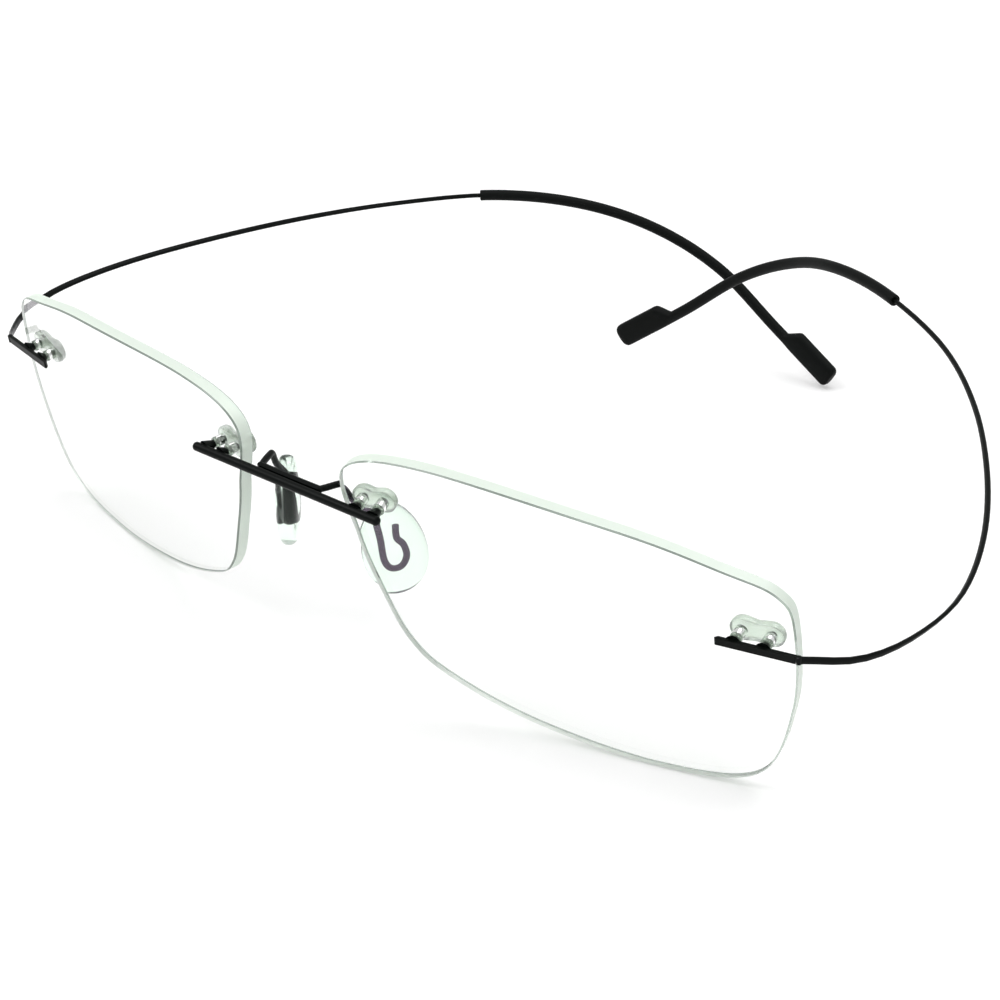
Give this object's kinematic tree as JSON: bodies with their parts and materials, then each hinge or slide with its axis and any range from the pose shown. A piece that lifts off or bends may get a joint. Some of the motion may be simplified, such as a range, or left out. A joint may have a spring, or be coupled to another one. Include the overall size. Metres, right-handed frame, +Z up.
{
  "type": "eyeglasses",
  "caption": "Rimless eyeglasses with drilled lenses, a wire bridge, clear nose pads and curved one-piece spring temples with black silicone tips.",
  "frame": {"origin": "bottom centre of the whole object's box, on the surface that it stands on", "axes": "+X towards the wearer's left, -Y the way the lenses face, +Y along the temples, +Z up; the glasses stand on the lenses' lower edges and the right temple's tip"},
  "size_m": [0.1407, 0.1054, 0.0339],
  "materials": {
    "lens": "clear polished, with a faint coating",
    "bushing": "clear moulded",
    "pad": "clear soft silicone",
    "metal": "black satin coating on spring wire",
    "tip": "matt silicone"
  },
  "bodies": {
    "front": {"lens_left": "lens", "lens_right": "lens", "bridge_bar": "metal", "bridge_pins_left": "metal", "bridge_pins_right": "metal", "bridge_bushing_left": "bushing", "bridge_bushing_right": "bushing", "pad_wire": "metal", "nose_pad_left": "pad", "nose_pad_right": "pad", "end_bar_left": "metal", "end_bar_right": "metal", "end_pins_left": "metal", "end_pins_right": "metal", "end_bushing_left": "bushing", "end_bushing_right": "bushing"},
    "temple_left": {"temple_wire_left": "metal", "temple_tip_left": "tip"},
    "temple_right": {"temple_wire_right": "metal", "temple_tip_right": "tip"}
  },
  "joints": [
    {"name": "temple_left_flex", "type": "hinge", "parent": "front", "child": "temple_left", "pos_m": [0.06306, -0.03882, 0.02106], "axis": [-0.0378, 0.1518, -0.9877], "range_deg": [-5, 30], "stiffness_Nm_per_rad": 0.06},
    {"name": "temple_right_flex", "type": "hinge", "parent": "front", "child": "temple_right", "pos_m": [-0.05886, -0.03882, 0.02106], "axis": [-0.0378, -0.1518, 0.9877], "range_deg": [-5, 30], "stiffness_Nm_per_rad": 0.06}
  ]
}
